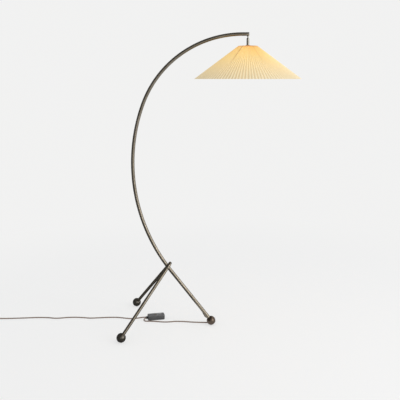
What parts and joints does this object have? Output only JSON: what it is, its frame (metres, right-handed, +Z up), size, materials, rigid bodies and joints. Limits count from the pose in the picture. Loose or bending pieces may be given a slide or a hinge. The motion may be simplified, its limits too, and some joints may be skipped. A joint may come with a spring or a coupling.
{
  "type": "bridge floor lamp",
  "caption": "Floor lamp with a tall tube bow on crossed tripod legs with ball feet, a lit pleated cone shade on a small swivel, and a slide dimmer in its textile cord.",
  "frame": {"origin": "centre of the bounding box of the stand and shade at the floor, without the cord", "axes": "+Z up from the floor, +X along the bow towards the shade, +Y to the back"},
  "size_m": [1.7021, 0.5436, 1.4957],
  "materials": {
    "bronzed_tube": "satin, bronzed",
    "dark_cap": "satin, bronzed",
    "bronze_ball": "semi-gloss, bronzed",
    "steel": "bright",
    "felt": "felt",
    "grey_bronze": "satin",
    "dark_plastic": "satin",
    "brass": "bright",
    "frame_white": "painted",
    "pleated_paper": "matt, pleated",
    "lit_glass": "opal",
    "cap_metal": "bright",
    "flex": "matt",
    "rubber_black": "matt",
    "cord_textile": "braided",
    "dimmer_grey": "fine grain",
    "slider_grey": "satin",
    "board_green": "lacquered",
    "tie_black": "woven",
    "plug_black": "satin"
  },
  "bodies": {
    "stand": {"bow_tube": "bronzed_tube", "front_leg": "bronzed_tube", "back_leg": "bronzed_tube", "leg_caps": "dark_cap", "saddle_spacers": "bronzed_tube", "cross_bolt": "bronzed_tube", "cross_nut": "bronzed_tube", "right_ball": "bronze_ball", "front_ball": "bronze_ball", "back_ball": "bronze_ball", "foot_studs": "steel", "floor_pads": "felt", "tip_fitting": "grey_bronze", "bow_flex": "flex", "cord_bush": "rubber_black", "lamp_cord": "cord_textile", "dimmer_tray": "dimmer_grey", "dimmer_cover": "dimmer_grey", "dimmer_screws": "steel", "dimmer_board": "board_green", "dimmer_glands": "rubber_black", "mains_cord": "cord_textile", "cord_coil": "cord_textile", "cord_tie": "tie_black", "plug_tail": "cord_textile", "plug_body": "plug_black", "plug_pins": "brass"},
    "swivel": {"swivel_cup": "grey_bronze", "swivel_clip": "steel", "tilt_pins": "steel"},
    "head": {"ball_stem": "grey_bronze", "holder_cap": "dark_plastic", "holder_body": "dark_plastic", "holder_contacts": "brass", "shade_rings": "dark_plastic", "fitter_spider": "frame_white", "shade_struts": "frame_white", "shade_hoop": "frame_white", "pleated_shade": "pleated_paper", "bulb_glass": "lit_glass", "bulb_cap": "cap_metal", "head_flex": "flex"},
    "slider": {"dimmer_slider": "slider_grey"}
  },
  "joints": [
    {"name": "shade_swivel", "type": "hinge", "parent": "stand", "child": "swivel", "pos_m": [0.18619, 0.00276, 1.47771], "axis": [0, 0, 1], "range_deg": [-170, 170]},
    {"name": "shade_tilt", "type": "hinge", "parent": "swivel", "child": "head", "pos_m": [0.18619, 0.00276, 1.47771], "axis": [0, 1, 0], "range_deg": [-20, 20]},
    {"name": "dimmer_slide", "type": "slide", "parent": "stand", "child": "slider", "axis": [0.9537, 0.3007, 0], "range_m": [-0.026, 0.003]}
  ]
}
